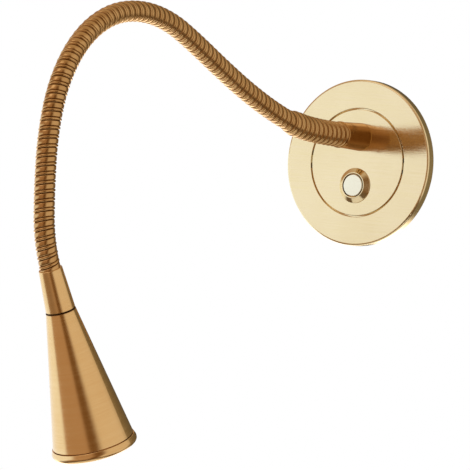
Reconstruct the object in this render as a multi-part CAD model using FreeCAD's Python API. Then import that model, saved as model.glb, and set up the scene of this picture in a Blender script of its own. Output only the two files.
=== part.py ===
import FreeCAD, Part
import math
import os

from FreeCAD import Placement, Rotation, Vector

# Bedside wall reading lamp: a flush round plate with a push switch, a long
# gooseneck and a cone-shaped reading head. Millimetres, +Z up, wall plane at
# Y = 0, the lamp stands out towards -Y, +X to the right seen from the front.

# ---- wall plate ----
plate_diameter = 85.0
plate_thickness = 5.0
plate_edge_round = 1.0
ring_face_width = 15.0     # from the rim to the middle of the dark line round the disc
ring_web = 2.5             # front web of the outer ring
ring_skirt = 2.5           # wall of the ring's skirt
disc_line_gap = 0.7
disc_flange_thickness = 1.2
disc_edge_round = 0.25

# ---- bracket on the wall box ----
box_screw_spacing = 60.0
box_slot_length = 6.4
box_slot_width = 4.0
frame_thickness = 1.2
frame_flange_gap = 1.5     # between the disc's flange and the bracket's band
frame_rim_height = 1.1
frame_skirt_gap = 0.6
lug_width = 12.0
lug_web = 1.4              # metal left inside the slot
lug_gap = 0.3              # between a lug and the housing
screw_pocket_depth = 1.2
screw_pocket_width = 9.0

# ---- housing behind the plate ----
housing_diameter = 50.0
housing_wall = 1.5
housing_depth = 20.0       # behind the wall plane
ear_angles = (90.0, 210.0, 330.0)
ear_width = 9.0
ear_thickness = 1.2
ear_screw_inset = 3.15     # from the ring's bore out to the ears' screws
ear_screw_margin = 3.0     # from the ears' screws out to the flange's rim
grommet_place = (-13.0, -8.0)
grommet_bore = 6.0
grommet_groove_diameter = 8.0
grommet_flange = 1.5

# ---- screws ----
m25_radius = 1.2
m25_head_radius = 2.3
m2_radius = 0.95
m2_head_radius = 1.9
m2_head_height = 1.2
m2_head_round = 0.4
grub_radius = 1.3
grub_sink = 0.2            # below the ring's rim
socket_flats = 1.3
thread_gap = 0.05
fit_gap = 0.1
cut_past = 1.0             # how far a cutting shape stands past the piece
housing_screw_length = 4.2

# ---- driver ----
board_thickness = 1.6
board_wall_gap = 1.0
board_cut_height = -1.0
post_height = 4.5          # holds the board off the housing's floor
post_radius = 2.5
side_post_inset = 7.5      # from the housing's wall
side_post_level = 3.0
top_post_inset = 4.0
driver_screw_length = 4.5
driver_part_level = 11.0   # height of the transformer's and the capacitor's middle
transformer_size = (10.0, 5.0, 10.0)
transformer_wall_gap = 0.5
capacitor_diameter = 8.0
capacitor_height = 7.4
capacitor_inset = 12.5     # from the housing's wall
terminal_size = (10.0, 11.0, 8.0)
terminal_wall_gap = 0.7
terminal_board_gap = 1.2
terminal_screw_radius = 1.5
terminal_screw_pitch = 5.0
terminal_screw_depth = 2.5
terminal_screw_sink = 0.3
terminal_slot = 0.5

# ---- push switch ----
switch_nut_wall_gap = 1.5  # from its lower corners to the housing's wall
switch_bezel_diameter = 18.0
switch_thread_diameter = 16.0
switch_bezel_rise = 2.3
switch_lip_width = 0.55
switch_cap_diameter = 11.3
switch_cap_gap = 0.45
switch_cap_height = 3.0
switch_cap_round = 0.35
switch_stem_radius = 1.5
switch_stem_reach = 5.4
switch_travel = 1.5
switch_barrel_back = 6.0   # behind the wall plane
switch_shelf = 1.0
switch_body_back = 12.0
switch_body_radius = 6.8
switch_body_step = 0.4
switch_nut_flats = 19.0
switch_nut_thickness = 2.5
switch_blade_width = 2.8
switch_blade_thickness = 0.8
switch_blade_offset = 3.5
switch_blade_floor_gap = 2.5
spring_wire = 0.3
spring_radius = 3.2
spring_turns = 3
lead_radius = 0.6

# ---- collar at the neck's root ----
collar_height = 13.1
collar_length = 20.0
collar_base_diameter = 14.3
collar_base_round = 0.3
collar_tip_diameter = 13.0
collar_bead_diameter = 13.6
collar_bead_width = 1.2
collar_stem_diameter = 10.0
collar_stem_back = 6.0     # behind the wall plane
collar_washer_diameter = 16.0
collar_washer_thickness = 0.8
collar_nut_flats = 14.0
collar_nut_thickness = 3.5

# ---- gooseneck ----
rib_pitch = 4.25
root_ribs = 13             # the stiffened, thicker root
flex_ribs = 3              # flexible stretch at each joint
link_ribs = 9              # rigid stretch after it
joint_count = 6
neck_crest_radius = 5.15
neck_groove_depth = 0.55
root_crest_radius = 6.4
root_taper_ribs = 2
neck_bore_radius = 3.0
cable_radius = 2.2
nipple_radius = 4.0
nipple_bore_radius = 2.6
nipple_length = 8.0
# rise and sideways swing, in degrees, of each arc; two arcs to a stretch
neck_arc_rises = (4.0, 10.5, 4.0, 3.0, 1.5, -2.5, -13.5, -16.0,
                  -22.0, -25.0, -20.5, -11.0, -2.5, -22.5)
neck_arc_swings = (0.0,) * 10 + (2.0,) * 4

# ---- reading head, along its own axis from the neck's end ----
sleeve_length = 20.8
sleeve_top_diameter = 11.3
sleeve_end_diameter = 14.4
sleeve_top_round = 0.4
sleeve_end_round = 0.2
joint_line = 0.35
sleeve_spigot_radius = 5.2
sleeve_spigot_length = 6.0
cone_length = 65.5
cone_mouth_diameter = 39.0
cone_wall = 1.2
cone_edge_round = 0.15
cone_throat_length = 7.0
bezel_length = 4.5
bezel_diameter = 41.2
bezel_round = 1.6
bezel_shoulder_round = 1.5
bezel_edge_round = 0.5
bezel_line = 0.35
bezel_line_step = 0.3      # the bezel's back stands proud of the cone
bezel_line_round = 0.2
bezel_bore_radius = 15.2
bezel_thread_radius = 17.8
bezel_thread_length = 3.4
bezel_skirt_radius = 16.4

# ---- lamp engine inside the head ----
heat_sink_start = 34.0     # from the cone's top edge
heat_sink_length = 12.0
heat_sink_grooves = 3
heat_sink_groove = 1.6
led_board_radius = 11.0
led_radius = 4.2
led_height = 0.8
led_round = 0.3
led_screw_offset = 8.6
led_screw_length = 5.0
lens_gap = 0.9             # above the light source
lens_foot_radius = 5.4
lens_pocket_radius = 4.6
lens_pocket_depth = 2.0
lens_cone_length = 7.7
lens_cone_radius = 13.4
lens_flange_radius = 14.8
lens_flange_thickness = 1.2
holder_hole_radius = 6.2
gasket_thickness = 0.7
gasket_overhang = 0.6      # past the bezel's bore

# ---- levels and places worked out from the sizes ----
front = -plate_thickness
web_back = front + ring_web
disc_back = web_back + disc_flange_thickness
ear_back = disc_back + ear_thickness
plate_radius = plate_diameter / 2
skirt_inside = plate_radius - ring_skirt
disc_line_radius = plate_radius - ring_face_width
ring_bore_radius = disc_line_radius + disc_line_gap / 2
disc_radius = disc_line_radius - disc_line_gap / 2
ear_circle = 2 * (ring_bore_radius + ear_screw_inset)
flange_radius = ear_circle / 2 + ear_screw_margin
frame_inside = flange_radius + frame_flange_gap
frame_outside = skirt_inside - frame_skirt_gap
grub_level = -frame_thickness - frame_rim_height / 2
grub_length = ring_skirt + frame_skirt_gap - fit_gap - grub_sink
pocket_length = screw_pocket_width + box_slot_length - box_slot_width
housing_radius = housing_diameter / 2
housing_inside = housing_radius - housing_wall
housing_floor = housing_depth - housing_wall
board_radius = housing_inside - board_wall_gap
board_back = housing_floor - post_height
board_front = board_back - board_thickness
side_post = housing_inside - side_post_inset
post_places = ((-side_post, side_post_level), (side_post, side_post_level),
               (0.0, housing_inside - top_post_inset))
terminal_level = board_cut_height - terminal_board_gap - terminal_size[2] / 2
switch_nut_corner = switch_nut_flats / math.sqrt(3)
switch_height = switch_nut_flats / 2 - math.sqrt((housing_inside - switch_nut_wall_gap) ** 2
                                                 - (switch_nut_corner / 2) ** 2)
blade_end = housing_floor - switch_blade_floor_gap
collar_tip = front - collar_length
switch_front = front - switch_bezel_rise
section_ribs = flex_ribs + link_ribs
neck_ribs = root_ribs + joint_count * section_ribs
neck_length = neck_ribs * rib_pitch
arc_ribs = [root_ribs / 2] * 2 + [section_ribs / 2] * (2 * joint_count)
cone_top = sleeve_length
cone_end = cone_top + cone_length
mouth = cone_end + bezel_length
cone_slope = (cone_mouth_diameter - sleeve_end_diameter) / 2 / cone_length
sink_start = cone_top + heat_sink_start
sink_end = sink_start + heat_sink_length
led_board_end = sink_end + board_thickness
lens_start = led_board_end + led_height + lens_gap
lens_shelf = lens_start + lens_cone_length
lens_front = lens_shelf + lens_flange_thickness
gasket_end = lens_front + gasket_thickness


# ---- helpers ----
def rounded_wire(points, radii=None, closed=True):
    """Straight runs through the points, with a tangent arc at each corner that has a radius."""
    radii = radii or {}
    starts = []
    ends = []
    arcs = []
    for i, point in enumerate(points):
        radius = radii.get(i, 0.0)
        if radius == 0.0:
            starts.append(point)
            ends.append(point)
            arcs.append(None)
            continue
        back = (points[i - 1] - point).normalize()
        ahead = (points[(i + 1) % len(points)] - point).normalize()
        half = back.getAngle(ahead) / 2
        cut = radius / math.tan(half)
        middle = point + (back + ahead).normalize() * (radius / math.sin(half) - radius)
        starts.append(point + back * cut)
        ends.append(point + ahead * cut)
        arcs.append(Part.Arc(starts[i], middle, ends[i]).toShape())
    edges = []
    for i in range(len(points)):
        if arcs[i] is not None:
            edges.append(arcs[i])
        if i + 1 < len(points) or closed:
            following = starts[(i + 1) % len(points)]
            if ends[i].distanceToPoint(following) > 1e-6:
                edges.append(Part.LineSegment(ends[i], following).toShape())
    return Part.Wire(edges)


def turned(profile, radii=None, at=(0.0, 0.0)):
    """A turned piece on an axis along Y through (x, z): profile of (radius, y)."""
    points = [Vector(r, y, 0) for r, y in profile]
    face = Part.Face(rounded_wire(points, radii))
    solid = face.revolve(Vector(0, 0, 0), Vector(0, 1, 0), 360)
    solid.translate(Vector(at[0], 0, at[1]))
    return solid


def rod(radius, y_front, y_back, at=(0.0, 0.0)):
    """A plain cylinder along Y through (x, z)."""
    return Part.makeCylinder(radius, y_back - y_front, Vector(at[0], y_front, at[1]), Vector(0, 1, 0))


def block(low, high):
    """A box between two corners."""
    size = [b - a for a, b in zip(low, high)]
    return Part.makeBox(size[0], size[1], size[2], Vector(*low))


def hexagon(flats, y_front, y_back, at=(0.0, 0.0)):
    """A hexagonal bar along Y, its corners pointing to the sides."""
    corner = flats / math.sqrt(3)
    points = []
    for i in range(6):
        angle = math.radians(60 * i)
        points.append(Vector(at[0] + corner * math.cos(angle), y_front, at[1] + corner * math.sin(angle)))
    face = Part.Face(rounded_wire(points))
    return face.extrude(Vector(0, y_back - y_front, 0))


def on_circle(diameter, angle):
    """The (x, z) place at an angle on a circle about the plate's axis."""
    turn = math.radians(angle)
    return (diameter / 2 * math.cos(turn), diameter / 2 * math.sin(turn))


def reach_inside(level, gap):
    """How far to the side a corner at a level can stand, with a gap to the housing's round wall."""
    return math.sqrt((housing_inside - gap) ** 2 - level ** 2)


def write(name, *solids):
    """Writes one named piece, or one group of like pieces, as its own file."""
    shape = solids[0] if len(solids) == 1 else Part.makeCompound(list(solids))
    shape.exportStep("parts/" + name + ".step")
    good = "good" if shape.isValid() else "BAD"
    print("%-22s %2d solids %9.1f mm3 %s" % (name, len(shape.Solids), shape.Volume, good))


# ---- wall plate and bracket ----
def mounting_frame():
    """Pressed steel bracket: a band inside the ring's skirt with two slotted lugs for the wall box."""
    rim = -frame_thickness - frame_rim_height
    band = turned([(frame_inside, 0), (frame_outside, 0), (frame_outside, rim),
                   (frame_outside - frame_thickness, rim),
                   (frame_outside - frame_thickness, -frame_thickness), (frame_inside, -frame_thickness)])
    for side in (-1, 1):
        band = band.fuse(lug(side, 0.0)).removeSplitter()
    for side in (-1, 1):
        band = band.cut(box_slot(side, box_slot_length, box_slot_width,
                                 -frame_thickness - cut_past, cut_past))
    return band


def lug(side, gap):
    """One of the bracket's two lugs, or the space that it needs with a gap round it."""
    inner = side * ((box_screw_spacing - box_slot_length) / 2 - lug_web - gap)
    outer = side * (frame_inside + frame_thickness + gap)
    half = lug_width / 2 + gap
    return block((min(inner, outer), -frame_thickness - gap, -half), (max(inner, outer), gap, half))


def box_slot(side, length, width, y_front, y_back):
    """A round-ended slot along X at one of the wall box's two screws."""
    middle = side * box_screw_spacing / 2
    reach = (length - width) / 2
    slot = block((middle - reach, y_front, -width / 2), (middle + reach, y_back, width / 2))
    for end in (-reach, reach):
        slot = slot.fuse(rod(width / 2, y_front, y_back, (middle + end, 0)))
    return slot.removeSplitter()


def outer_ring():
    """Turned brass trim ring: a flat web with a skirt down to the wall."""
    ring = turned([(ring_bore_radius, front), (plate_radius, front), (plate_radius, 0),
                   (skirt_inside, 0), (skirt_inside, web_back), (ring_bore_radius, web_back)],
                  {0: disc_edge_round, 1: plate_edge_round})
    for angle in ear_angles:
        hole_end = ear_back - housing_screw_length - thread_gap
        ring = ring.cut(rod(m25_radius + thread_gap, hole_end, web_back + cut_past,
                            on_circle(ear_circle, angle)))
    for side in (-1, 1):
        ring = ring.cut(box_slot(side, pocket_length, screw_pocket_width,
                                 web_back - screw_pocket_depth, web_back + cut_past))
        ring = ring.cut(grub(side, thread_gap))
    return ring


def grub(side, gap):
    """The space of one grub screw in the skirt, above or below the plate's centre."""
    length = grub_length if gap == 0 else grub_length + cut_past
    start = Vector(0, grub_level, side * (frame_outside + fit_gap - gap))
    return Part.makeCylinder(grub_radius + gap, length, start, Vector(0, 0, side))


def ring_grub_screws():
    """Two socket grub screws that hold the ring on the bracket."""
    screws = []
    for side in (-1, 1):
        tip = side * (frame_outside + fit_gap + grub_length)
        socket = Part.makeCylinder(socket_flats / 2, grub_length / 2,
                                   Vector(0, grub_level, tip), Vector(0, 0, -side))
        screws.append(grub(side, 0.0).cut(socket))
    return screws


def face_disc():
    """Turned brass disc that carries the neck and the switch, with a thin flange behind the ring."""
    disc = turned([(0, front), (disc_radius, front), (disc_radius, web_back),
                   (flange_radius, web_back), (flange_radius, disc_back), (0, disc_back)],
                  {1: disc_edge_round})
    for angle in ear_angles:
        disc = disc.cut(rod(m25_radius + 2 * thread_gap, front, 0, on_circle(ear_circle, angle)))
    for side in (-1, 1):
        disc = disc.cut(box_slot(side, pocket_length, screw_pocket_width, web_back, cut_past))
    for diameter, level in ((collar_stem_diameter, collar_height), (switch_thread_diameter, switch_height)):
        disc = disc.cut(rod(diameter / 2 + thread_gap, front - cut_past, cut_past, (0, level)))
    return disc


def driver_housing():
    """Moulded cup behind the disc, with three ears under the disc's flange and posts for the board."""
    cup = turned([(housing_inside, disc_back), (housing_radius, disc_back), (housing_radius, housing_depth),
                  (0, housing_depth), (0, housing_floor), (housing_inside, housing_floor)],
                 {2: housing_wall / 2})
    for angle in ear_angles:
        ear = block((housing_inside + housing_wall / 2, disc_back, -ear_width / 2),
                    (flange_radius, ear_back, ear_width / 2))
        ear.rotate(Vector(0, 0, 0), Vector(0, 1, 0), -angle)
        cup = cup.fuse(ear)
    for place in post_places:
        cup = cup.fuse(rod(post_radius, board_back, housing_floor + housing_wall / 2, place))
        cup = cup.cut(rod(m2_radius + thread_gap, board_back - cut_past, housing_floor - thread_gap, place))
    for angle in ear_angles:
        cup = cup.cut(countersunk(on_circle(ear_circle, angle), thread_gap))
    for side in (-1, 1):
        cup = cup.cut(lug(side, lug_gap))
    return cup.cut(rod(grommet_groove_diameter / 2, housing_floor - cut_past, housing_depth + cut_past,
                       grommet_place))


def countersunk(place, gap):
    """The space of one countersunk screw, driven from behind towards the front."""
    head = m25_head_radius + gap
    shank = m25_radius + gap
    tip = ear_back - housing_screw_length
    return turned([(0, ear_back), (head, ear_back), (shank, ear_back - m25_head_radius + m25_radius),
                   (shank, tip), (0, tip)], at=place)


def housing_screws():
    """Three countersunk screws through the ears and the disc's flange into the ring."""
    return [countersunk(on_circle(ear_circle, angle), 0.0).cut(slot_cut(on_circle(ear_circle, angle)))
            for angle in ear_angles]


def slot_cut(place):
    """A driver slot across a screw head."""
    width = m25_radius / 3
    return block((place[0] - m25_head_radius, ear_back - 2 * width, place[1] - width / 2),
                 (place[0] + m25_head_radius, ear_back + cut_past, place[1] + width / 2))


def cable_grommet():
    """Rubber grommet in the housing's end wall, the way in for the mains cable."""
    bore = grommet_bore / 2
    groove = grommet_groove_diameter / 2 - thread_gap
    flange = groove + grommet_flange
    return turned([(bore, housing_floor - grommet_flange), (flange, housing_floor - grommet_flange),
                   (flange, housing_floor), (groove, housing_floor), (groove, housing_depth),
                   (flange, housing_depth), (flange, housing_depth + grommet_flange),
                   (bore, housing_depth + grommet_flange)],
                  {1: grommet_flange / 3, 6: grommet_flange / 3}, grommet_place)


# ---- driver ----
def driver_board():
    """D-shaped circuit board on the housing's posts, above the switch."""
    board = rod(board_radius, board_front, board_back)
    board = board.common(block((-board_radius, board_front, board_cut_height),
                               (board_radius, board_back, board_radius)))
    for place in post_places:
        board = board.cut(rod(m2_radius + thread_gap, board_front - cut_past, board_back + cut_past, place))
    return board


def driver_screws():
    """Pan-head screws that hold the driver board on its posts."""
    screws = []
    for place in post_places:
        head = board_front - m2_head_height
        screws.append(turned([(0, head), (m2_head_radius, head), (m2_head_radius, board_front),
                              (m2_radius, board_front), (m2_radius, board_front + driver_screw_length),
                              (0, board_front + driver_screw_length)], {1: m2_head_round}, place))
    return screws


def driver_transformer():
    """Moulded transformer on the board's front."""
    wide, deep, tall = transformer_size
    z = driver_part_level
    x = wide / 2 - reach_inside(z + tall / 2, transformer_wall_gap)
    core = block((x - wide / 2, board_front - deep, z - tall / 2), (x + wide / 2, board_front, z + tall / 2))
    edges = [e for e in core.Edges if abs(e.tangentAt(0).y) > 0.9]
    return core.makeFillet(tall / 10, edges)


def driver_capacitor():
    """Upright capacitor can with a rolled top edge."""
    radius = capacitor_diameter / 2
    top = board_front - capacitor_height
    return turned([(0, top), (radius, top), (radius, board_front), (0, board_front)],
                  {1: radius / 6}, (housing_inside - capacitor_inset, driver_part_level))


def mains_terminal_block():
    """Two-pole screw terminal for the mains wires, on the housing's floor."""
    wide, deep, tall = terminal_size
    top = housing_floor - deep
    x = terminal_middle()
    body = block((x - wide / 2, top, terminal_level - tall / 2),
                 (x + wide / 2, housing_floor, terminal_level + tall / 2))
    for place in terminal_screw_places():
        body = body.cut(rod(terminal_screw_radius + thread_gap, top - cut_past,
                            top + terminal_screw_depth, place))
    return body


def terminal_middle():
    """The terminal's sideways place, its lower corner beside the housing's wall."""
    corner = terminal_level - terminal_size[2] / 2
    return reach_inside(corner, terminal_wall_gap) - terminal_size[0] / 2


def terminal_screw_places():
    """The (x, z) places of the terminal's two screws."""
    return [(terminal_middle() + side * terminal_screw_pitch / 2, terminal_level) for side in (-1, 1)]


def terminal_screws():
    """The terminal's clamping screws, sunk in its front."""
    top = housing_floor - terminal_size[1]
    screws = []
    for x, z in terminal_screw_places():
        head = top + terminal_screw_sink
        screw = rod(terminal_screw_radius, head, top + terminal_screw_depth, (x, z))
        slot = block((x - terminal_screw_radius, top, z - terminal_slot / 2),
                     (x + terminal_screw_radius, head + terminal_slot, z + terminal_slot / 2))
        screws.append(screw.cut(slot))
    return screws


# ---- push switch ----
def switch_barrel():
    """Polished bezel and threaded barrel in one piece, with a sloped face and a fine inner lip."""
    bezel = switch_bezel_diameter / 2
    thread = switch_thread_diameter / 2
    bore = switch_cap_diameter / 2 + switch_cap_gap
    lip = bore + switch_lip_width
    shelf = disc_back
    hole = switch_stem_radius + thread_gap
    socket = switch_body_radius + thread_gap
    return turned([(bore, switch_front), (lip, switch_front), (bezel, front - switch_bezel_rise / 6),
                   (bezel, front), (thread, front), (thread, switch_barrel_back),
                   (socket, switch_barrel_back), (socket, shelf + switch_shelf), (hole, shelf + switch_shelf),
                   (hole, shelf), (bore, shelf)],
                  {0: switch_lip_width / 3, 1: switch_lip_width / 3, 2: switch_bezel_rise / 10},
                  (0, switch_height))


def switch_cap():
    """Polished push cap with its stem; it travels into the barrel."""
    radius = switch_cap_diameter / 2
    back = switch_front + switch_cap_height
    return turned([(0, switch_front), (radius, switch_front), (radius, back),
                   (switch_stem_radius, back), (switch_stem_radius, back + switch_stem_reach),
                   (0, back + switch_stem_reach)], {1: switch_cap_round}, (0, switch_height))


def switch_spring():
    """Return spring under the cap: arcs of half a turn, each climbing half the coil's pitch."""
    top = switch_front + switch_cap_height + spring_wire / 2 + fit_gap
    bottom = disc_back - spring_wire / 2 - fit_gap
    steps = 4 * spring_turns
    points = []
    for i in range(steps + 1):
        angle = math.pi / 2 * i
        depth = top + (bottom - top) * i / steps
        points.append(Vector(spring_radius * math.cos(angle), depth,
                             switch_height + spring_radius * math.sin(angle)))
    edges = [Part.Arc(points[i], points[i + 1], points[i + 2]).toShape() for i in range(0, steps, 2)]
    path = Part.Wire(edges)
    ahead = edges[0].tangentAt(edges[0].FirstParameter)
    section = Part.Wire(Part.makeCircle(spring_wire / 2, points[0], ahead))
    rise = abs(bottom - top) / spring_turns
    print("spring: gap between turns %.2f mm" % (rise - spring_wire))
    return path.makePipeShell([section], True, False)


def switch_nut():
    """Hexagon nut that clamps the switch in the disc."""
    back = disc_back + switch_nut_thickness
    nut = hexagon(switch_nut_flats, disc_back, back, (0, switch_height))
    return nut.cut(rod(switch_thread_diameter / 2 + thread_gap, disc_back - cut_past, back + cut_past,
                       (0, switch_height)))


def switch_body():
    """Moulded contact block that plugs into the barrel from behind."""
    start = disc_back + switch_shelf
    depth = switch_front + switch_cap_height + switch_stem_reach + switch_travel + 2 * fit_gap
    shoulder = switch_thread_diameter / 2 - switch_body_step
    return turned([(switch_stem_radius + fit_gap, start), (switch_body_radius, start),
                   (switch_body_radius, switch_barrel_back), (shoulder, switch_barrel_back),
                   (shoulder, switch_body_back), (0, switch_body_back), (0, depth),
                   (switch_stem_radius + fit_gap, depth)], at=(0, switch_height))


def switch_blades():
    """Two solder tabs at the back of the switch."""
    wide = switch_blade_width / 2
    thick = switch_blade_thickness / 2
    blades = []
    for x in (-switch_blade_offset, switch_blade_offset):
        blades.append(block((x - thick, switch_body_back, switch_height - wide),
                            (x + thick, blade_end, switch_height + wide)))
    return blades


def switch_leads():
    """Two insulated leads, soldered beside the tabs, up to the back of the driver board."""
    leads = []
    depth = board_back + 2 * lead_radius
    top = board_cut_height + 4 * lead_radius
    for side in (-1, 1):
        x = side * (switch_blade_offset + switch_blade_thickness / 2 + lead_radius)
        start = Vector(x, depth, switch_height - switch_blade_width / 2)
        points = [start, Vector(x, depth, top), Vector(x, board_back, top)]
        path = rounded_wire(points, {1: 1.5 * lead_radius}, closed=False)
        section = Part.Wire(Part.makeCircle(lead_radius, start, Vector(0, 0, 1)))
        leads.append(path.makePipeShell([section], True, False))
    return leads


# ---- collar ----
def collar():
    """Turned brass collar on the disc: a tapered sleeve, a fine bead and a threaded stem behind."""
    base = collar_base_diameter / 2
    tip = collar_tip_diameter / 2
    bead = collar_bead_diameter / 2
    stem = collar_stem_diameter / 2
    seat = nipple_radius + thread_gap
    seat_end = collar_tip + nipple_length
    bead_start = collar_tip + collar_bead_width
    return turned([(nipple_bore_radius, collar_stem_back), (stem, collar_stem_back), (stem, front),
                   (base, front), (tip, bead_start), (bead, bead_start), (bead, collar_tip),
                   (seat, collar_tip), (seat, seat_end), (nipple_bore_radius, seat_end)],
                  {3: collar_base_round, 5: collar_bead_width / 3, 6: collar_bead_width / 3},
                  (0, collar_height))


def collar_washer():
    """Locking washer behind the disc."""
    back = disc_back + collar_washer_thickness
    bore = collar_stem_diameter / 2 + thread_gap
    outside = collar_washer_diameter / 2
    return turned([(bore, disc_back), (outside, disc_back), (outside, back), (bore, back)],
                  at=(0, collar_height))


def collar_nut():
    """Hexagon nut that clamps the collar in the disc."""
    start = disc_back + collar_washer_thickness
    back = start + collar_nut_thickness
    nut = hexagon(collar_nut_flats, start, back, (0, collar_height))
    return nut.cut(rod(collar_stem_diameter / 2 + thread_gap, start - cut_past, back + cut_past,
                       (0, collar_height)))


# ---- gooseneck ----
def arc_step(run, length, rise, swing):
    """The move along one arc: local Z along the neck, local Y up, local X sideways."""
    turn = math.radians(math.hypot(rise, swing))
    if turn == 0:
        return Placement(Vector(0, 0, run), Rotation())
    sideways = Vector(swing, rise, 0).normalize()
    radius = length / turn
    angle = turn * run / length
    move = sideways * (radius * (1 - math.cos(angle))) + Vector(0, 0, radius * math.sin(angle))
    return Placement(move, Rotation(Vector(-rise, swing, 0), math.degrees(angle)))


def along_neck(distance):
    """The neck's placement at a distance from the collar; straight on past either end."""
    place = Placement(Vector(0, collar_tip, collar_height),
                      Rotation(Vector(1, 0, 0), Vector(0, 0, 1), Vector(0, -1, 0), "ZXY"))
    if distance < 0:
        return place * Placement(Vector(0, 0, distance), Rotation())
    for ribs, rise, swing in zip(arc_ribs, neck_arc_rises, neck_arc_swings):
        length = ribs * rib_pitch
        run = min(distance, length)
        place = place * arc_step(run, length, rise, swing)
        distance -= run
    return place * Placement(Vector(0, 0, distance), Rotation())


def ring_on_neck(distance, radius):
    """A circle square to the neck at a distance from the collar."""
    circle = Part.makeCircle(radius)
    circle.Placement = along_neck(distance)
    return Part.Wire(circle)


def crest_radius(rib):
    """The outer radius of one rib: thick at the root, tapering over its last ribs."""
    past = rib - (root_ribs - root_taper_ribs) + 1
    share = min(max(past / (root_taper_ribs + 1), 0.0), 1.0)
    return root_crest_radius + (neck_crest_radius - root_crest_radius) * share


def ribbed_length(first, count):
    """A stretch of the neck: four circles to a rib, and a smooth bore."""
    rings = [ring_on_neck(first * rib_pitch, crest_radius(first) - neck_groove_depth)]
    for rib in range(first, first + count):
        crest = crest_radius(rib)
        groove = crest - neck_groove_depth
        for share, radius in ((0.06, groove), (0.2, crest), (0.8, crest), (0.94, groove)):
            rings.append(ring_on_neck((rib + share) * rib_pitch, radius))
    last = first + count
    rings.append(ring_on_neck(last * rib_pitch, crest_radius(last - 1) - neck_groove_depth))
    tube = Part.makeLoft(rings, True, True)
    bore = Part.makeLoft([ring_on_neck(rib * rib_pitch, neck_bore_radius)
                          for rib in range(first, last + 1)], True, True)
    return tube.cut(bore)


def neck_cable(number):
    """The lamp cable through one joint of the neck, from mid-stretch to mid-stretch."""
    joint = root_ribs + (number - 1) * section_ribs + flex_ribs / 2
    start = joint - section_ribs / 2
    end = joint + section_ribs / 2
    stations = [start] + list(range(math.ceil(start), math.floor(end) + 1)) + [end]
    if number == 1:
        stations = [(collar_tip - board_front) / rib_pitch] + list(range(0, math.floor(end) + 1)) + [end]
    if number == joint_count:
        stations = [start] + list(range(math.ceil(start), neck_ribs + 1)) + [neck_ribs + sink_end / rib_pitch]
    stations = sorted(set(stations))
    return Part.makeLoft([ring_on_neck(rib * rib_pitch, cable_radius) for rib in stations], True, True)


def nipple(distance):
    """A threaded brass nipple on the neck's end, pointing along the neck."""
    tube = Part.makeCylinder(nipple_radius, nipple_length)
    tube = tube.cut(Part.makeCylinder(nipple_bore_radius, nipple_length))
    tube.Placement = along_neck(distance)
    return tube


# ---- reading head ----
def on_head(shape):
    """Carries a piece made on the Z axis to the head: Z runs from the neck's end to the mouth."""
    shape.Placement = along_neck(neck_length) * shape.Placement
    return shape


def head_turned(profile, radii=None):
    """A turned piece of the head: profile of (radius, distance from the neck's end)."""
    points = [Vector(r, 0, s) for r, s in profile]
    face = Part.Face(rounded_wire(points, radii))
    return face.revolve(Vector(0, 0, 0), Vector(0, 0, 1), 360)


def cone_outside(s):
    """The cone's outer radius at a distance from the neck's end."""
    return sleeve_end_diameter / 2 + cone_slope * (s - cone_top)


def cone_inside(s):
    """The cone's inner radius at a distance from the neck's end."""
    return cone_outside(s) - cone_wall * math.hypot(1, cone_slope)


def head_sleeve():
    """Turned brass sleeve between the neck and the cone, with a threaded spigot."""
    bore = nipple_bore_radius
    seat = nipple_radius + thread_gap
    seat_end = nipple_length + fit_gap
    end = sleeve_length - joint_line
    return head_turned([(seat, 0), (sleeve_top_diameter / 2, 0), (sleeve_end_diameter / 2 - fit_gap, end),
                        (sleeve_spigot_radius, end), (sleeve_spigot_radius, end + sleeve_spigot_length),
                        (bore, end + sleeve_spigot_length), (bore, seat_end), (seat, seat_end)],
                       {1: sleeve_top_round, 2: sleeve_end_round})


def cone_shade():
    """Spun brass cone, threaded on the sleeve and bored for the bezel."""
    throat = sleeve_spigot_radius + thread_gap
    throat_end = cone_top + cone_throat_length
    thread = bezel_thread_radius + fit_gap
    thread_start = cone_end - bezel_thread_length - fit_gap
    return head_turned([(throat, cone_top), (cone_outside(cone_top), cone_top),
                        (cone_outside(cone_end), cone_end), (thread, cone_end), (thread, thread_start),
                        (cone_inside(thread_start), thread_start), (cone_inside(throat_end), throat_end),
                        (throat, throat_end)], {1: cone_edge_round, 2: cone_edge_round})


def bezel_ring():
    """Rounded brass ring at the mouth, with a threaded skirt that holds the lens in."""
    outside = bezel_diameter / 2
    start = cone_end + bezel_line
    thread_end = cone_end - bezel_thread_length
    return head_turned([(bezel_bore_radius, gasket_end), (bezel_skirt_radius, gasket_end),
                        (bezel_skirt_radius, thread_end), (bezel_thread_radius, thread_end),
                        (bezel_thread_radius, start), (cone_outside(cone_end) + bezel_line_step, start),
                        (outside, mouth - bezel_length / 2), (outside, mouth),
                        (bezel_bore_radius + bezel_round, mouth),
                        (bezel_bore_radius, mouth - 2 * bezel_round)],
                       {5: bezel_line_round, 6: bezel_shoulder_round, 7: bezel_round,
                        8: bezel_edge_round, 9: bezel_edge_round})


def heat_sink():
    """Grooved aluminium slug wedged in the cone, behind the light source's board."""
    start = sink_start
    profile = [(cable_radius + fit_gap, start), (cone_inside(start) - fit_gap, start)]
    space = heat_sink_length / (heat_sink_grooves + 1)
    for i in range(heat_sink_grooves):
        low = start + space * (i + 1) - heat_sink_groove / 2
        high = low + heat_sink_groove
        floor = cone_inside(low) - fit_gap - 2 * heat_sink_groove
        profile += [(cone_inside(low) - fit_gap, low), (floor, low), (floor, high),
                    (cone_inside(high) - fit_gap, high)]
    profile += [(cone_inside(sink_end) - fit_gap, sink_end), (cable_radius + fit_gap, sink_end)]
    slug = head_turned(profile)
    for place in led_screw_places():
        slug = slug.cut(Part.makeCylinder(m2_radius + thread_gap, led_screw_length,
                                          Vector(place[0], place[1], sink_end - led_screw_length)))
    return slug


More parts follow.
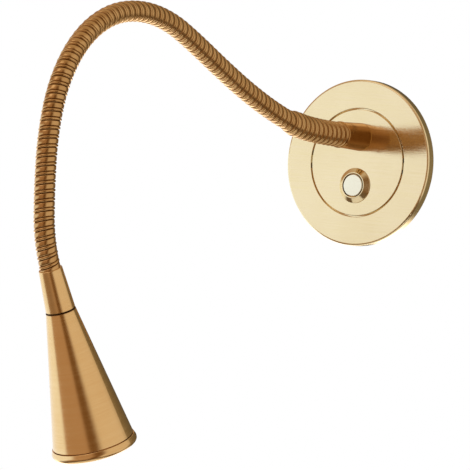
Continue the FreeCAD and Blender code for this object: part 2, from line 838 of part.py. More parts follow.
def led_screw_places():
    """The two (x, y) places of the light board's screws, in the head's own axes."""
    return [(side * led_screw_offset, 0.0) for side in (-1, 1)]


def led_board():
    """Round metal-core board."""
    board = Part.makeCylinder(led_board_radius, board_thickness, Vector(0, 0, sink_end))
    for x, y in led_screw_places():
        board = board.cut(Part.makeCylinder(m2_radius + thread_gap, board_thickness, Vector(x, y, sink_end)))
    return board


def led_board_screws():
    """Two pan-head screws that hold the light board on the heat sink."""
    screws = []
    for x, y in led_screw_places():
        top = led_board_end + m2_head_height
        tip = sink_end - led_screw_length + fit_gap
        screw = head_turned([(0, top), (m2_head_radius, top), (m2_head_radius, led_board_end),
                             (m2_radius, led_board_end), (m2_radius, tip), (0, tip)], {1: m2_head_round})
        screw.translate(Vector(x, y, 0))
        screws.append(screw)
    return screws


def led_emitter():
    """The round light source on its board."""
    return head_turned([(0, led_board_end), (led_radius, led_board_end),
                        (led_radius, led_board_end + led_height), (0, led_board_end + led_height)],
                       {2: led_round})


def lens():
    """Clear moulded lens: a solid cone with a pocket over the light source and a flat flange."""
    pocket_end = lens_start + lens_pocket_depth
    return head_turned([(0, pocket_end), (lens_pocket_radius, pocket_end), (lens_pocket_radius, lens_start),
                        (lens_foot_radius, lens_start), (lens_cone_radius, lens_shelf),
                        (lens_flange_radius, lens_shelf), (lens_flange_radius, lens_front), (0, lens_front)])


def lens_holder():
    """Black moulded cup that centres the lens over the light source."""
    lens_slope = (lens_cone_radius - lens_foot_radius) / lens_cone_length
    shelf_radius = lens_cone_radius + 4 * fit_gap
    foot = lens_shelf - (shelf_radius - holder_hole_radius) / lens_slope
    rim = lens_flange_radius + fit_gap
    gap = 2 * fit_gap
    cup = head_turned([(holder_hole_radius, led_board_end), (cone_inside(led_board_end) - gap, led_board_end),
                       (cone_inside(lens_front) - gap, lens_front), (rim, lens_front),
                       (rim, lens_shelf), (shelf_radius, lens_shelf), (holder_hole_radius, foot)])
    for x, y in led_screw_places():
        cup = cup.cut(Part.makeCylinder(m2_head_radius + gap, m2_head_height + gap,
                                        Vector(x, y, led_board_end)))
    return cup


def lens_gasket():
    """Flat rubber seal between the lens and the bezel's skirt."""
    outside = bezel_skirt_radius
    inside = bezel_bore_radius - gasket_overhang
    return head_turned([(inside, lens_front), (outside, lens_front), (outside, gasket_end),
                        (inside, gasket_end)])


# ---- every piece ----
os.makedirs("parts", exist_ok=True)

write("mounting_frame", mounting_frame())
write("outer_ring", outer_ring())
write("ring_grub_screws", *ring_grub_screws())
write("face_disc", face_disc())
write("driver_housing", driver_housing())
write("housing_screws", *housing_screws())
write("cable_grommet", cable_grommet())

write("driver_board", driver_board())
write("driver_screws", *driver_screws())
write("driver_transformer", driver_transformer())
write("driver_capacitor", driver_capacitor())
write("mains_terminal_block", mains_terminal_block())
write("terminal_screws", *terminal_screws())

write("switch_barrel", switch_barrel())
write("switch_cap", switch_cap())
write("switch_spring", switch_spring())
write("switch_nut", switch_nut())
write("switch_body", switch_body())
write("switch_blades", *switch_blades())
write("switch_leads", *switch_leads())

write("collar", collar())
write("collar_washer", collar_washer())
write("collar_nut", collar_nut())

write("neck_root_nipple", nipple(-nipple_length))
write("neck_root_section", ribbed_length(0, root_ribs))
for number in range(1, joint_count + 1):
    first = root_ribs + (number - 1) * section_ribs
    write("neck_flex_%d" % number, ribbed_length(first, flex_ribs))
    write("neck_section_%d" % number, ribbed_length(first + flex_ribs, link_ribs))
    write("neck_cable_%d" % number, neck_cable(number))
    pivot = along_neck((first + flex_ribs / 2) * rib_pitch)
    axis_up = pivot.Rotation.multVec(Vector(0, 1, 0))
    axis_side = pivot.Rotation.multVec(Vector(1, 0, 0))
    print("joint %d" % number, "at", tuple(round(v, 3) for v in pivot.Base),
          "up", tuple(round(v, 4) for v in axis_up), "side", tuple(round(v, 4) for v in axis_side))

write("head_nipple", nipple(neck_length))
write("head_sleeve", on_head(head_sleeve()))
write("cone_shade", on_head(cone_shade()))
write("bezel_ring", on_head(bezel_ring()))
write("heat_sink", on_head(heat_sink()))
write("led_board", on_head(led_board()))
write("led_board_screws", *[on_head(screw) for screw in led_board_screws()])
write("led_emitter", on_head(led_emitter()))
write("lens", on_head(lens()))
write("lens_holder", on_head(lens_holder()))
write("lens_gasket", on_head(lens_gasket()))

tip = along_neck(neck_length + mouth)
print("neck length %.2f, mouth centre" % neck_length, tuple(round(v, 2) for v in tip.Base),
      "axis", tuple(round(v, 4) for v in tip.Rotation.multVec(Vector(0, 0, 1))))
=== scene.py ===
import math

import bpy
from mathutils import Matrix, Vector


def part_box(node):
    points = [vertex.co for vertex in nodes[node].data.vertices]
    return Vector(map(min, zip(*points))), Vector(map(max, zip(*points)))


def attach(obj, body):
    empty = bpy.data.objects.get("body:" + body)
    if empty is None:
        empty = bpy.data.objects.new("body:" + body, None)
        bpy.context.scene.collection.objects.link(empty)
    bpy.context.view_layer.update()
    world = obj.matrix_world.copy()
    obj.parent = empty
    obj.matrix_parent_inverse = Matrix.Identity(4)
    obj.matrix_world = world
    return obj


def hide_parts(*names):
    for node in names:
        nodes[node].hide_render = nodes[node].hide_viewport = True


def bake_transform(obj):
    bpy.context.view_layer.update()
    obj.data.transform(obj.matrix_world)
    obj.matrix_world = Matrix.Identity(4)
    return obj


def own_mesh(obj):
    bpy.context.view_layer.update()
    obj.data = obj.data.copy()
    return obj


# Bedside wall reading lamp in satin brass: a round wall plate with a push switch, a long
# spirally wound gooseneck and a slim turned head. Metres, the wall plane at Y = 0.

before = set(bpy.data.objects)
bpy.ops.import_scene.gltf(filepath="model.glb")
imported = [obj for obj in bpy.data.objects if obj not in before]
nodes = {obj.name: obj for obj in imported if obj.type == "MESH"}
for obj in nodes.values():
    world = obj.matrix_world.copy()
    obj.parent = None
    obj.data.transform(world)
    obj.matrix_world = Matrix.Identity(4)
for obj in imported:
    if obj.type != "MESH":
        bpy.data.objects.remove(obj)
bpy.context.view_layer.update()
scene = bpy.context.scene
mm = 0.001


def linearColour(code):  # an sRGB hex colour as Blender's linear values
    parts = [int(code[i:i + 2], 16) / 255 for i in (1, 3, 5)]
    return [c / 12.92 if c <= 0.04045 else ((c + 0.055) / 1.055) ** 2.4 for c in parts] + [1.0]


def feed(tree, node, inputs):
    # inputs in order, or by name or number; a node stands for the first of its outputs in use
    for socket, value in (inputs.items() if isinstance(inputs, dict) else enumerate(inputs)):
        if isinstance(value, bpy.types.Node):
            value = next(output for output in value.outputs if output.enabled)
        if isinstance(value, bpy.types.NodeSocket):
            tree.links.new(value, node.inputs[socket])
        else:
            node.inputs[socket].default_value = value


def addNode(tree, kind, inputs=(), **settings):
    node = tree.nodes.new(kind)
    for name, value in settings.items():
        setattr(node, name, value)
    feed(tree, node, inputs)
    return node


# The neck's line, which its ribs, the cable and the head follow
neckLine = {
    "ribPitch": 4.25 * mm,
    "rootRibs": 13,  # the stiffened root, before the first bend
    "bendRibs": 12,  # from one bend to the next
    "bends": 6,
    "bendMiddle": 1.5,  # ribs from a stretch's start to its bend
    # degrees turned up and to the side, two arcs to a stretch
    "rises": (4.0, 10.5, 4.0, 3.0, 1.5, -2.5, -13.5, -16.0, -22.0, -25.0, -20.5, -11.0, -2.5, -22.5),
    "swings": (0.0,) * 10 + (2.0,) * 4,
    "pointsPerRib": 8,
}
collarLow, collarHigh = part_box("collar")
neckStart = Vector(((collarLow.x + collarHigh.x) / 2, collarLow.y, (collarLow.z + collarHigh.z) / 2))
neckRibs = neckLine["rootRibs"] + neckLine["bends"] * neckLine["bendRibs"]
outOfWall = Matrix(((1, 0, 0), (0, 0, -1), (0, 1, 0))).to_4x4()  # turns Z away from the wall and Y up


def neckPlace(ribs):  # the frame on the neck's line: Z along it, Y up, X sideways
    place = Matrix.Translation(neckStart) @ outOfWall
    stretches = [neckLine["rootRibs"] / 2] * 2 + [neckLine["bendRibs"] / 2] * (2 * neckLine["bends"])
    if ribs < 0:
        return place @ Matrix.Translation((0, 0, ribs * neckLine["ribPitch"]))
    for count, rise, swing in zip(stretches, neckLine["rises"], neckLine["swings"]):
        run = min(ribs, count)
        ribs -= run
        turn = math.radians(math.hypot(rise, swing))
        radius = count * neckLine["ribPitch"] / turn
        angle = turn * run / count
        sideways = Vector((swing, rise, 0)).normalized()
        move = sideways * radius * (1 - math.cos(angle)) + Vector((0, 0, radius * math.sin(angle)))
        place = place @ Matrix.Translation(move) @ Matrix.Rotation(angle, 4, Vector((-rise, swing, 0)))
    return place @ Matrix.Translation((0, 0, ribs * neckLine["ribPitch"]))


def neckCurve(name, first, last):
    count = round((last - first) * neckLine["pointsPerRib"]) + 1
    line = bpy.data.curves.new(name, "CURVE")
    line.dimensions = "3D"
    spline = line.splines.new("POLY")
    spline.points.add(count - 1)
    for index, point in enumerate(spline.points):
        ribs = first + (last - first) * index / (count - 1)
        point.co = neckPlace(ribs).translation.to_4d()
    lineObject = bpy.data.objects.new(name, line)
    scene.collection.objects.link(lineObject)
    return lineObject


headPlace = neckPlace(neckRibs)
print("line: neck of", neckRibs, "ribs, head at", [round(v, 4) for v in headPlace.translation])

# The finishes. Each mixes a fine grain, or marks in a turned frame, with wide soft clouds.
noise = {"grainDetail": 3.0, "cloudDetail": 4.0, "spread": (0.3, 0.7)}


def turnedWhere(tree, place, steps=(1, 1, 1)):  # Object coordinates in the turned frame of place
    location, rotation, _ = place.decompose()
    where = addNode(tree, "ShaderNodeTexCoord").outputs["Object"]
    return addNode(tree, "ShaderNodeMapping", {"Vector": where, "Location": location,
                                               "Rotation": rotation.to_euler(), "Scale": steps},
                   vector_type="TEXTURE")


def finishNodes(name, look, marksPlace=None):
    material = bpy.data.materials.new(name)
    material.use_nodes = True
    tree = material.node_tree
    where = addNode(tree, "ShaderNodeTexCoord").outputs["Object"]
    if marksPlace is None:
        grainWhere, grainScale = where, look["grainPerMm"] / mm
    else:
        grainWhere, grainScale = turnedWhere(tree, marksPlace, look["marks"]), 1.0
    grain = addNode(tree, "ShaderNodeTexNoise", {"Vector": grainWhere, "Scale": grainScale,
                                                 "Detail": noise["grainDetail"]})
    cloud = addNode(tree, "ShaderNodeTexNoise", {"Vector": where, "Scale": look["cloudPerMm"] / mm,
                                                 "Detail": noise["cloudDetail"]})
    mixture = addNode(tree, "ShaderNodeMix", {0: look["grainShare"], 2: cloud, 3: grain})
    share = addNode(tree, "ShaderNodeMapRange", [mixture, *noise["spread"], 0.0, 1.0])
    tone = addNode(tree, "ShaderNodeMix", {0: share, 6: linearColour(look["dark"]),
                                           7: linearColour(look["light"])}, data_type="RGBA")
    rough = addNode(tree, "ShaderNodeMapRange", [grain, *noise["spread"], *look["rough"]])
    bump = addNode(tree, "ShaderNodeBump",
                   {"Height": grain, "Strength": look["bump"], "Distance": look["bumpDepth"]})
    feed(tree, tree.nodes["Principled BSDF"],
         {"Base Color": tone, "Roughness": rough, "Normal": bump, "Metallic": look.get("metal", 0.0)})
    return material


# Real brush lines, turning rings and mould grain are finer than 0.1 mm, which the render can't
# show, so they are drawn as coarse as they need to show. grainPerMm and cloudPerMm count the
# grains and clouds on a millimetre; marks is one mark's size along X, Y and Z of its frame.
plateLook = {  # satin brass brushed level under clear lacquer, which draws reflections up and down
    "light": "#F3E2BB", "dark": "#E3CE9B", "metal": 1.0, "rough": (0.1, 0.17),
    "marks": (24 * mm, 0.5 * mm, 0.34 * mm), "grainShare": 0.65, "cloudPerMm": 0.03,
    "bump": 0.5, "bumpDepth": 0.02 * mm,
}
headLook = {  # lathe-turned brass: rings round the axis, a shade deeper than the plate
    "light": "#EACA94", "dark": "#DFB77C", "metal": 1.0, "rough": (0.16, 0.25),
    "marks": (30 * mm, 30 * mm, 0.25 * mm), "grainShare": 0.6, "cloudPerMm": 0.05,
    "bump": 0.2, "bumpDepth": 0.01 * mm,
}
neckLook = {  # bronzed brass wire, smooth on its crests, darker and duller in the grooves: old polish there, and painted shade
    "light": "#D4AE78", "dark": "#B98F58", "metal": 1.0, "rough": (0.2, 0.28),
    # the grooves' colour and roughness: old polish and painted shade
    "groove": "#5C3E1E", "grooveRough": 0.45,
    "grooveReach": (0.35, 0.9),  # shares of the depth at which the old polish and painted shade start and are full
    "grainPerMm": 6, "grainShare": 0.4, "cloudPerMm": 0.14, "bump": 0.1, "bumpDepth": 0.004 * mm,
}
boltLook = {  # bright zinc plating on steel: a cool, slightly cloudy grey
    "light": "#D6D7D6", "dark": "#BEC0C1", "metal": 1.0, "rough": (0.28, 0.42),
    "grainPerMm": 1.8, "grainShare": 0.5, "cloudPerMm": 0.22, "bump": 0.15, "bumpDepth": 0.01 * mm,
}
plasticLook = {  # moulded plastic with a faint spark-eroded grain that takes its shine off
    "light": "#E8E6DF", "dark": "#DEDBD2", "rough": (0.42, 0.58),
    "grainPerMm": 1.5, "grainShare": 0.5, "cloudPerMm": 0.12, "bump": 0.2, "bumpDepth": 0.02 * mm,
}
bezelLook = dict(plateLook, rough=(0.1, 0.18))  # the push switch's own brass
capLook = dict(plateLook, light="#EEE8D0", dark="#E6DEC2", rough=(0.1, 0.16), grainShare=0.3)  # paler
collarLook = dict(headLook, light="#CDA468", dark="#BE9457")  # deeper than the head
machinedLook = dict(headLook, rough=(0.22, 0.3))  # the inner fittings, left as the lathe leaves them
aluminiumLook = dict(boltLook, light="#E2E4E6", dark="#CDD0D3")
rubberLook = dict(plasticLook, light="#2B2B2B", dark="#1D1D1D", rough=(0.7, 0.85))
boardLook = dict(plasticLook, rough=(0.3, 0.42), grainPerMm=2.5)  # solder resist on glass fibre
lensLook = dict(plasticLook, light="#FFFFFF", dark="#FAFCFC", rough=(0.02, 0.05), bump=0.02,
                ior=1.49)  # clear moulded acrylic

wallUpright = Matrix.Identity(4)
collarTurned = neckPlace(0)
headBrass = finishNodes("turnedHeadBrass", headLook, headPlace)
neckBrass = finishNodes("bronzedNeckBrass", neckLook)
slotFinish = {
    "satin_brass": finishNodes("satinBrushedBrass", plateLook, wallUpright),
    "polished_brass": finishNodes("turnedSwitchBrass", bezelLook, wallUpright),
    "bronze_neck": neckBrass,
    "turned_brass": finishNodes("machinedBrass", machinedLook, collarTurned),
    "zinc_steel": finishNodes("zincPlatedSteel", boltLook),
    "aluminium": finishNodes("turnedAluminium", aluminiumLook),
    "housing_plastic": finishNodes("housingPlastic", plasticLook),
    "black_plastic": finishNodes("blackPlastic", dict(plasticLook, light="#1D1D1E", dark="#121213")),
    "rubber": finishNodes("softRubber", rubberLook),
    "cable_sheath": finishNodes("cableSheath", dict(plasticLook, light="#ECEBE6", dark="#DDDBD4")),
    "circuit_board": finishNodes("circuitBoard", dict(boardLook, light="#1F6B3E", dark="#17532F")),
    "white_board": finishNodes("whiteBoard", dict(boardLook, light="#F4F4F1", dark="#E8E8E4")),
    "terminal_plastic": finishNodes("terminalPlastic", dict(plasticLook, light="#F0EEE6", dark="#E4E1D6")),
    "phosphor": finishNodes("phosphorCoat", dict(plasticLook, light="#F2D65A", dark="#E6C645")),
    "clear_lens": finishNodes("clearLens", lensLook),
}
lensTree = slotFinish["clear_lens"].node_tree
feed(lensTree, lensTree.nodes["Principled BSDF"], {"Transmission Weight": 1.0, "IOR": lensLook["ior"]})


def shadeAndPolishWhere(tree, share, look):  # darker and duller where the share is 1: painted shade, and old polish in the neck's grooves
    shader = tree.nodes["Principled BSDF"]
    cleanTone, cleanRough = (shader.inputs[name].links[0].from_socket for name in ("Base Color", "Roughness"))
    tone = addNode(tree, "ShaderNodeMix", {0: share, 6: cleanTone, 7: linearColour(look["groove"])},
                   data_type="RGBA")
    rough = addNode(tree, "ShaderNodeMix", {0: share, 2: cleanRough, 3: look["grooveRough"]})
    feed(tree, shader, {"Base Color": tone, "Roughness": rough})


neckTree = neckBrass.node_tree
# painted shade and old polish, fuller deeper in the grooves
depth = addNode(neckTree, "ShaderNodeAttribute", attribute_name="grooveDepth").outputs["Fac"]
inGroove = addNode(neckTree, "ShaderNodeMapRange", [depth, *neckLook["grooveReach"], 0.0, 1.0],
                   interpolation_type="SMOOTHSTEP")
shadeAndPolishWhere(neckTree, inGroove, neckLook)

# The line where the head's sleeve meets the cone gets painted shade too: a dark, duller ring
jointShade = {
    "along": 20.7 * mm,  # from the neck's end
    "reach": (0.3 * mm, 0.65 * mm),  # full shade, and none again
    # the painted shade's colour and roughness
    "groove": "#5A3818", "grooveRough": 0.4,
}
headTree = headBrass.node_tree
along = addNode(headTree, "ShaderNodeSeparateXYZ", [turnedWhere(headTree, headPlace)]).outputs["Z"]
past = addNode(headTree, "ShaderNodeMath", [along, jointShade["along"]], operation="SUBTRACT")
away = addNode(headTree, "ShaderNodeMath", [past], operation="ABSOLUTE")
shadeAndPolishWhere(headTree, addNode(headTree, "ShaderNodeMapRange", [away, *jointShade["reach"], 1.0, 0.0]), jointShade)

nodeFinish = {name: slotFinish[node.data.materials[0].name.split(".")[0]] for name, node in nodes.items()}
nodeFinish |= {name: headBrass for name in ("head_sleeve", "cone_shade", "bezel_ring", "head_nipple")}
nodeFinish["collar"] = finishNodes("turnedCollarBrass", collarLook, collarTurned)
nodeFinish["switch_cap"] = finishNodes("paleLacqueredCap", capLook, collarTurned)
for name, node in nodes.items():
    node.data.materials[0] = nodeFinish[name]
print("finishes:", len(bpy.data.materials), "materials on", len(nodes), "nodes")

# The gooseneck: a wide band and a round wire wound together, with the cable inside
neckShape = {
    "rootRadius": 6.4 * mm,
    "radius": 5.15 * mm,
    "boreRadius": 3.0 * mm,
    "grooveDepth": 0.95 * mm,
    "rootTaper": (10, 12),  # ribs between which the thick root thins down
    "cuts": 72,  # around
    # place along one pitch, and depth below the crest as a share of the groove's
    "profile": ((0.0, 1.0), (0.03, 0.55), (0.07, 0.32), (0.13, 0.23), (0.24, 0.19), (0.38, 0.19), (0.5, 0.22),
                (0.57, 0.32), (0.6, 0.5), (0.63, 0.8), (0.665, 0.42), (0.73, 0.09), (0.81, 0.0), (0.9, 0.12),
                (0.955, 0.45)),
    "boreRows": 60,
    "spareLine": 2.0,  # ribs that the line runs on before and after the neck
    "spareWinding": 2.0,  # ribs of rows to spare, since the ends cut across the winding
    "bendReach": 5.5,  # ribs on each side of a bend to where the span about it starts and ends
    "samePlace": 1e-5,  # ribs, closer than which two places are one
    "tidyDistance": 0.004 * mm,  # points closer than this are joined
}
cableShape = {"radius": 2.2 * mm, "cuts": 24, "boardDepth": 66.8 * mm}  # the depth is from the neck's end
creaseAngle = math.radians(50)  # edges sharper than this stay sharp


def groupInputs(group, sizes):  # a named input for each size
    kinds = {float: "NodeSocketFloat", int: "NodeSocketInt", tuple: "NodeSocketVector"}
    group.interface.new_socket("Geometry", in_out="INPUT", socket_type="NodeSocketGeometry")
    for name, value in sizes.items():
        socket = group.interface.new_socket(name, in_out="INPUT", socket_type=kinds[type(value)])
        socket.default_value = value
    group.interface.new_socket("Geometry", in_out="OUTPUT", socket_type="NodeSocketGeometry")
    return addNode(group, "NodeGroupInput").outputs


def endOfGroup(group, geometry, material):
    smooth = addNode(group, "GeometryNodeSetShadeSmooth", {"Geometry": geometry, "Shade Smooth": True})
    real = addNode(group, "GeometryNodeRealizeInstances", {"Geometry": smooth})
    finish = addNode(group, "GeometryNodeSetMaterial", {"Geometry": real, "Material": material})
    addNode(group, "NodeGroupOutput", {"Geometry": finish})
    return group


def drawLines(curveNode, points):  # straight lines through the points
    line = curveNode.mapping.curves[0]
    while len(line.points) < len(points):
        line.points.new(0.5, 0.5)
    for place, point in zip(points, line.points):
        point.location = place
        point.handle_type = "VECTOR"
    curveNode.mapping.update()


def ringPoint(group, line, distance, around, radius):  # on a ring of this radius round the line
    sample = addNode(group, "GeometryNodeSampleCurve", {"Curves": line, "Length": distance},
                     mode="LENGTH", use_all_curves=True).outputs
    angle = addNode(group, "ShaderNodeMath", [around, 2 * math.pi], operation="MULTIPLY")
    across = addNode(group, "ShaderNodeVectorMath", [sample["Tangent"], sample["Normal"]],
                     operation="CROSS_PRODUCT")
    ways = []
    for way, part in ((sample["Normal"], "COSINE"), (across, "SINE")):
        share = addNode(group, "ShaderNodeMath", [angle], operation=part)
        reach = addNode(group, "ShaderNodeMath", [share, radius], operation="MULTIPLY")
        ways.append(addNode(group, "ShaderNodeVectorMath", {0: way, "Scale": reach}, operation="SCALE"))
    offset = addNode(group, "ShaderNodeVectorMath", ways, operation="ADD")
    return addNode(group, "ShaderNodeVectorMath", [sample["Position"], offset], operation="ADD")


def ribbedGroup(sizes, material):
    group = bpy.data.node_groups.new("spiralNeck", "GeometryNodeTree")
    inputs = groupInputs(group, sizes)
    firstRib, lastRib = inputs["First rib"], inputs["Last rib"]
    profile, cuts, boreRows = neckShape["profile"], neckShape["cuts"], neckShape["boreRows"]
    perRib = len(profile)

    # a grid with rows along the neck: the winding's on the outside, then the bore's
    span = addNode(group, "ShaderNodeMath", [lastRib, firstRib], operation="SUBTRACT")
    wholeRibs = addNode(group, "ShaderNodeMath", [span], operation="CEIL")
    woundRibs = addNode(group, "ShaderNodeMath", [wholeRibs, neckShape["spareWinding"]], operation="ADD")
    outerRows = addNode(group, "ShaderNodeMath", [woundRibs, perRib], operation="MULTIPLY")
    rows = addNode(group, "ShaderNodeMath", [outerRows, boreRows], operation="ADD")
    grid = addNode(group, "GeometryNodeMeshGrid", {"Vertices X": rows, "Vertices Y": cuts + 1})

    # each point's row and its share of the way around; the halves guard against rounding
    index = addNode(group, "GeometryNodeInputIndex")
    midIndex = addNode(group, "ShaderNodeMath", [index, 0.5], operation="ADD")
    rowPlace = addNode(group, "ShaderNodeMath", [midIndex, cuts + 1], operation="DIVIDE")
    row = addNode(group, "ShaderNodeMath", [rowPlace], operation="FLOOR")
    column = addNode(group, "ShaderNodeMath", [index, cuts + 1], operation="MODULO")
    around = addNode(group, "ShaderNodeMath", [column, cuts], operation="DIVIDE")

    # outer rows: one point of the profile each, from a rib before the first, and a pitch further
    # on after every turn; what lies past either end is drawn back to it
    midRow = addNode(group, "ShaderNodeMath", [row, 0.5], operation="ADD")
    ribPlace = addNode(group, "ShaderNodeMath", [midRow, perRib], operation="DIVIDE")
    rib = addNode(group, "ShaderNodeMath", [ribPlace], operation="FLOOR")
    profileRow = addNode(group, "ShaderNodeMath", [row, perRib], operation="MODULO")
    step = addNode(group, "ShaderNodeMath", [profileRow, perRib], operation="DIVIDE")
    alongPitch = addNode(group, "ShaderNodeFloatCurve", {"Value": step})
    drawLines(alongPitch, [(k / perRib, p[0]) for k, p in enumerate(profile)] + [(1.0, 1.0)])
    alongRibs = addNode(group, "ShaderNodeMath", [rib, alongPitch], operation="ADD")
    onward = addNode(group, "ShaderNodeMath", [alongRibs, around], operation="ADD")
    wholeFirst = addNode(group, "ShaderNodeMath", [firstRib], operation="FLOOR")
    fromFirst = addNode(group, "ShaderNodeMath", [onward, wholeFirst], operation="ADD")
    wanted = addNode(group, "ShaderNodeMath", [fromFirst, 1.0], operation="SUBTRACT")
    pastFirst = addNode(group, "ShaderNodeMath", [wanted, firstRib], operation="MAXIMUM")
    cutPlace = addNode(group, "ShaderNodeMath", [pastFirst, lastRib], operation="MINIMUM")

    # bore rows: plain rings back from the last rib to the first, then one that closes the start
    boreRow = addNode(group, "ShaderNodeMath", [row, outerRows], operation="SUBTRACT")
    back = addNode(group, "ShaderNodeMath", [boreRow, boreRows - 2], operation="DIVIDE")
    backShare = addNode(group, "ShaderNodeMath", [back, 1.0], operation="MINIMUM")
    backRibs = addNode(group, "ShaderNodeMath", [backShare, span], operation="MULTIPLY")
    borePlace = addNode(group, "ShaderNodeMath", [lastRib, backRibs], operation="SUBTRACT")
    outerEnd = addNode(group, "ShaderNodeMath", [outerRows, 0.5], operation="SUBTRACT")
    onOuter = addNode(group, "ShaderNodeMath", [row, outerEnd], operation="LESS_THAN")
    boreEnd = addNode(group, "ShaderNodeMath", [rows, 1.5], operation="SUBTRACT")
    closing = addNode(group, "ShaderNodeMath", [row, boreEnd], operation="GREATER_THAN")
    place = addNode(group, "ShaderNodeMix", {0: onOuter, 2: borePlace, 3: cutPlace})

    # the groove's depth: the row's own point of the profile, or where a cut end meets the winding
    atStep = addNode(group, "ShaderNodeFloatCurve", {"Value": step})
    drawLines(atStep, [(k / perRib, p[1]) for k, p in enumerate(profile)] + [(1.0, profile[0][1])])
    fromTurn = addNode(group, "ShaderNodeMath", [place, around], operation="SUBTRACT")
    wound = addNode(group, "ShaderNodeMath", [fromTurn], operation="FRACT")
    atCut = addNode(group, "ShaderNodeFloatCurve", {"Value": wound})
    drawLines(atCut, profile + ((1.0, profile[0][1]),))
    isWhole = addNode(group, "ShaderNodeMath", [wanted, cutPlace, neckShape["samePlace"]],
                      operation="COMPARE")
    onStep = addNode(group, "ShaderNodeMath", [isWhole, onOuter], operation="MULTIPLY")
    depth = addNode(group, "ShaderNodeMix", {0: onStep, 2: atCut, 3: atStep})

    crest = addNode(group, "ShaderNodeMapRange",
                    [place, *neckShape["rootTaper"], inputs["Root radius"], inputs["Radius"]],
                    interpolation_type="SMOOTHSTEP")
    below = addNode(group, "ShaderNodeMath", [depth, inputs["Groove depth"]], operation="MULTIPLY")
    woundRadius = addNode(group, "ShaderNodeMath", [crest, below], operation="SUBTRACT")
    isWound = addNode(group, "ShaderNodeMath", [onOuter, closing], operation="MAXIMUM")
    radius = addNode(group, "ShaderNodeMix", {0: isWound, 2: inputs["Bore radius"], 3: woundRadius})

    fromStart = addNode(group, "ShaderNodeMath", [place, inputs["Line start"]], operation="SUBTRACT")
    distance = addNode(group, "ShaderNodeMath", [fromStart, inputs["Rib pitch"]], operation="MULTIPLY")
    position = ringPoint(group, inputs["Geometry"], distance, around, radius)
    stored = addNode(group, "GeometryNodeStoreNamedAttribute",
                     {"Geometry": grid, "Name": "grooveDepth", "Value": depth},
                     data_type="FLOAT", domain="POINT")
    moved = addNode(group, "GeometryNodeSetPosition", {"Geometry": stored, "Position": position})
    merged = addNode(group, "GeometryNodeMergeByDistance",
                     {"Geometry": moved, "Distance": neckShape["tidyDistance"]})
    return endOfGroup(group, merged, material)


def cableGroup(sizes, material):
    group = bpy.data.node_groups.new("cableInNeck", "GeometryNodeTree")
    inputs = groupInputs(group, sizes)
    circle = addNode(group, "GeometryNodeCurvePrimitiveCircle",
                     {"Resolution": inputs["Cuts"], "Radius": inputs["Radius"]})
    tube = addNode(group, "GeometryNodeCurveToMesh",
                   {"Curve": inputs["Geometry"], "Profile Curve": circle, "Fill Caps": True})
    return endOfGroup(group, tube, material)


def bakeGroup(host, group, values, name):  # the group's shape as a plain mesh piece
    modifier = host.modifiers.new("shape", "NODES")
    modifier.node_group = group
    for item in group.interface.items_tree:
        if item.in_out == "INPUT" and item.name in values:
            modifier[item.identifier] = values[item.name]
    bpy.context.view_layer.update()
    mesh = bpy.data.meshes.new_from_object(host.evaluated_get(bpy.context.evaluated_depsgraph_get()))
    host.modifiers.remove(modifier)
    mesh.set_sharp_from_angle(angle=creaseAngle)
    piece = bpy.data.objects.new(name, mesh)
    scene.collection.objects.link(piece)
    return piece


lineStart = -neckShape["spareLine"]
neckSizes = {
    "First rib": 0.0, "Last rib": float(neckRibs), "Line start": lineStart,
    "Rib pitch": neckLine["ribPitch"], "Root radius": neckShape["rootRadius"],
    "Radius": neckShape["radius"], "Bore radius": neckShape["boreRadius"],
    "Groove depth": neckShape["grooveDepth"],
}
cableSizes = {"Radius": cableShape["radius"], "Cuts": cableShape["cuts"]}
spiralNeck = ribbedGroup(neckSizes, neckBrass)
cableInNeck = cableGroup(cableSizes, slotFinish["cable_sheath"])
neckHost = neckCurve("neckHost", lineStart, neckRibs - lineStart)
for number in range(1, neckLine["bends"] + 1):
    middle = neckLine["rootRibs"] + (number - 1) * neckLine["bendRibs"] + neckLine["bendMiddle"]
    first, last = middle - neckLine["bendRibs"] / 2, middle + neckLine["bendRibs"] / 2
    cableFirst, cableLast = first, last
    covered = [f"neck_flex_{number}", "neck_root_section" if number == 1 else f"neck_section_{number - 1}"]
    if number == 1:
        first = 0.0
        cableFirst = (neckStart.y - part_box("neck_cable_1")[1].y) / neckLine["ribPitch"]
    if number == neckLine["bends"]:
        last = float(neckRibs)
        cableLast = neckRibs + cableShape["boardDepth"] / neckLine["ribPitch"]
        covered.append(f"neck_section_{number}")
    ribs = bakeGroup(neckHost, spiralNeck, neckSizes | {"First rib": first, "Last rib": last},
                     f"spiralNeck{number}")
    cableHost = neckCurve(f"cableLine{number}", cableFirst, cableLast)
    cable = bakeGroup(cableHost, cableInNeck, cableSizes, f"neckCable{number}")
    bpy.data.objects.remove(cableHost)
    bendStart, bendEnd = (neckPlace(middle + reach).translation
                          for reach in (-neckShape["bendReach"], neckShape["bendReach"]))
    for piece in (ribs, cable):
        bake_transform(piece)
    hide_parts(*covered)
    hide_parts(f"neck_cable_{number}")
bpy.data.objects.remove(neckHost)
print("neck:", neckLine["bends"], "pieces of winding and of cable")

# The push button's return spring, made as one still coil, though the real one shortens as the cap goes in
springShape = {
    "turns": 3.0,
    "wireRadius": 0.15 * mm,
    "stepsPerTurn": 32,
    "wireCuts": 12,
    "pressed": 0.48,  # share of its length with the cap pressed in
}


